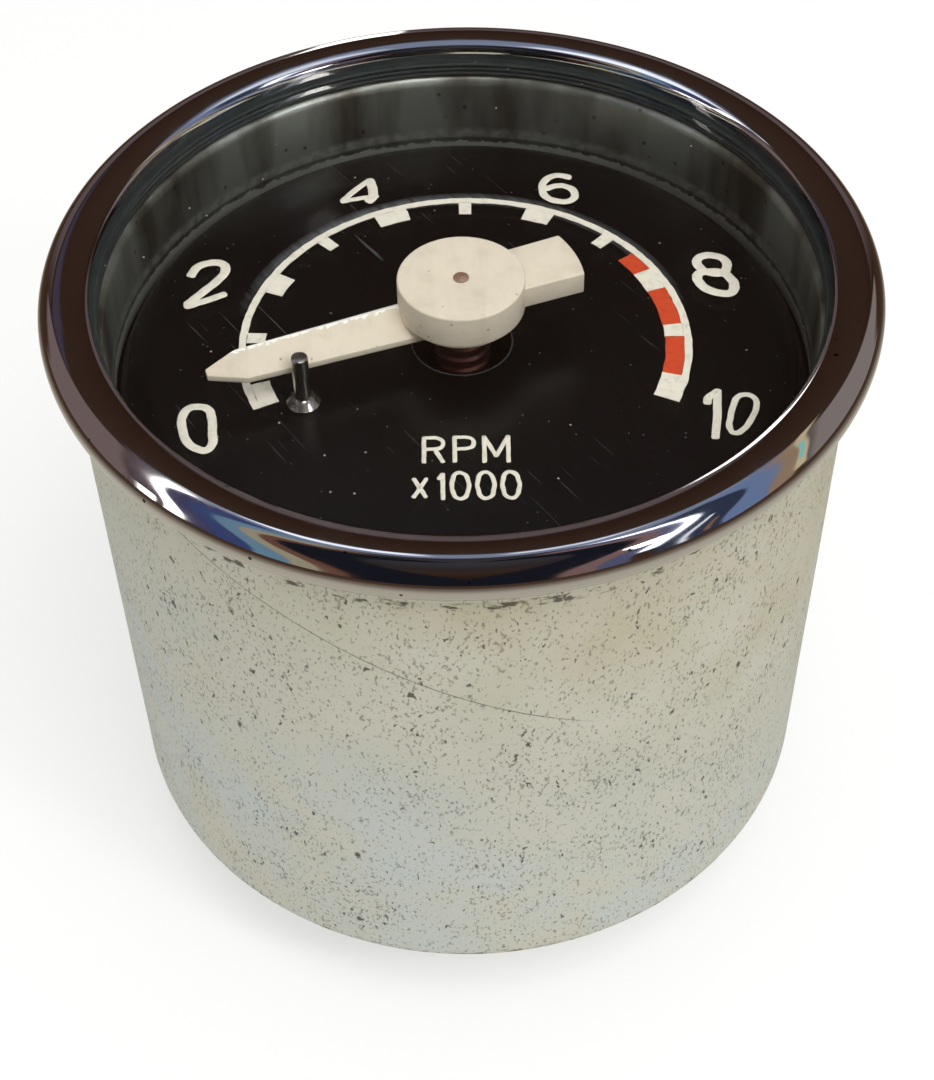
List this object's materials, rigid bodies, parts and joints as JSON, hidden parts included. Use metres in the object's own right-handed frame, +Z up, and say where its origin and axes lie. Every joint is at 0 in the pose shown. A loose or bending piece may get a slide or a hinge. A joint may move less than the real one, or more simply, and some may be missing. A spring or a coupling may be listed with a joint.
{
  "type": "motorcycle tachometer",
  "caption": "Round cable-driven magnetic tachometer for a motorcycle: deep plated case, rolled chrome bezel, flat glass, black dial and a cream pointer that rests on a stop pin.",
  "frame": {"origin": "centre of the end face of the cable union, which is the lowest point, on the instrument's axis", "axes": "+Z up the instrument's axis and out of the dial, +X to the right of the scale as it is read, -Y towards the foot of the scale"},
  "size_m": [0.085, 0.085, 0.0808],
  "materials": {
    "zinc_case": "zinc plated steel, pitted and stained",
    "chrome": "bright chrome plate",
    "glass": "clear flat glass",
    "gasket_rubber": "matte grey-green rubber",
    "plated_ring": "plated sheet with upright draw marks",
    "dial_enamel": "black gloss enamel with fine scratches",
    "brass": "turned brass",
    "bright_steel": "polished steel",
    "cast_alloy": "as cast",
    "gasket_paper": "oiled gasket sheet",
    "zinc_hardware": "zinc plated",
    "passivated_union": "yellow passivated zinc plate",
    "red_fibre": "vulcanised fibre",
    "sintered_bronze": "oiled sintered bronze",
    "soft_steel": "nickel plated soft iron",
    "spring_bronze": "rolled phosphor bronze",
    "jewel": "polished synthetic ruby",
    "magnet_alloy": "ground cast magnet alloy",
    "cup_aluminium": "spun aluminium",
    "cream_paint": "cream paint, lightly worn",
    "copper_bush": "dark copper-red bush"
  },
  "bodies": {
    "root": {"case": "zinc_case", "bezel": "chrome", "glass": "glass", "glass_gasket": "gasket_rubber", "spacer_ring": "plated_ring", "dial": "dial_enamel", "dial_dowels": "brass", "stop_pin": "bright_steel", "movement_frame": "cast_alloy", "frame_gasket": "gasket_paper", "frame_screws": "zinc_hardware", "frame_screw_washers": "zinc_hardware", "cable_union": "passivated_union", "union_washer": "red_fibre", "lower_bush": "sintered_bronze", "upper_bush": "sintered_bronze", "mounting_studs": "zinc_hardware", "stud_nuts": "zinc_hardware", "stud_washers": "zinc_hardware", "flux_yoke": "soft_steel", "bridge_pillars": "brass", "top_bridge": "brass", "bridge_screws": "zinc_hardware", "pointer_bearing": "sintered_bronze", "hairspring_regulator": "brass", "hairspring_stud": "bright_steel", "hairspring": "spring_bronze"},
    "drive": {"drive_spindle": "bright_steel", "pivot_jewel": "jewel", "thrust_washer": "sintered_bronze", "magnet_hub": "brass", "magnet": "magnet_alloy", "compensator_ring": "soft_steel", "magnet_clip": "bright_steel"},
    "needle": {"drag_cup": "cup_aluminium", "cup_collet": "brass", "hairspring_collet": "brass", "pointer_spindle": "bright_steel", "pointer_bush": "copper_bush", "pointer_blade": "cream_paint", "pointer_hub": "cream_paint"}
  },
  "joints": [
    {"name": "pointer_swing", "type": "hinge", "parent": "root", "child": "needle", "pos_m": [0, 0, 0.0746], "axis": [0, 0, -1], "range_deg": [0, 221], "stiffness_Nm_per_rad": 0.00024, "springref_deg": -17.19},
    {"name": "drive_spin", "type": "hinge", "parent": "root", "child": "drive", "pos_m": [0, 0, 0.03], "axis": [0, 0, -1], "continuous": true}
  ]
}
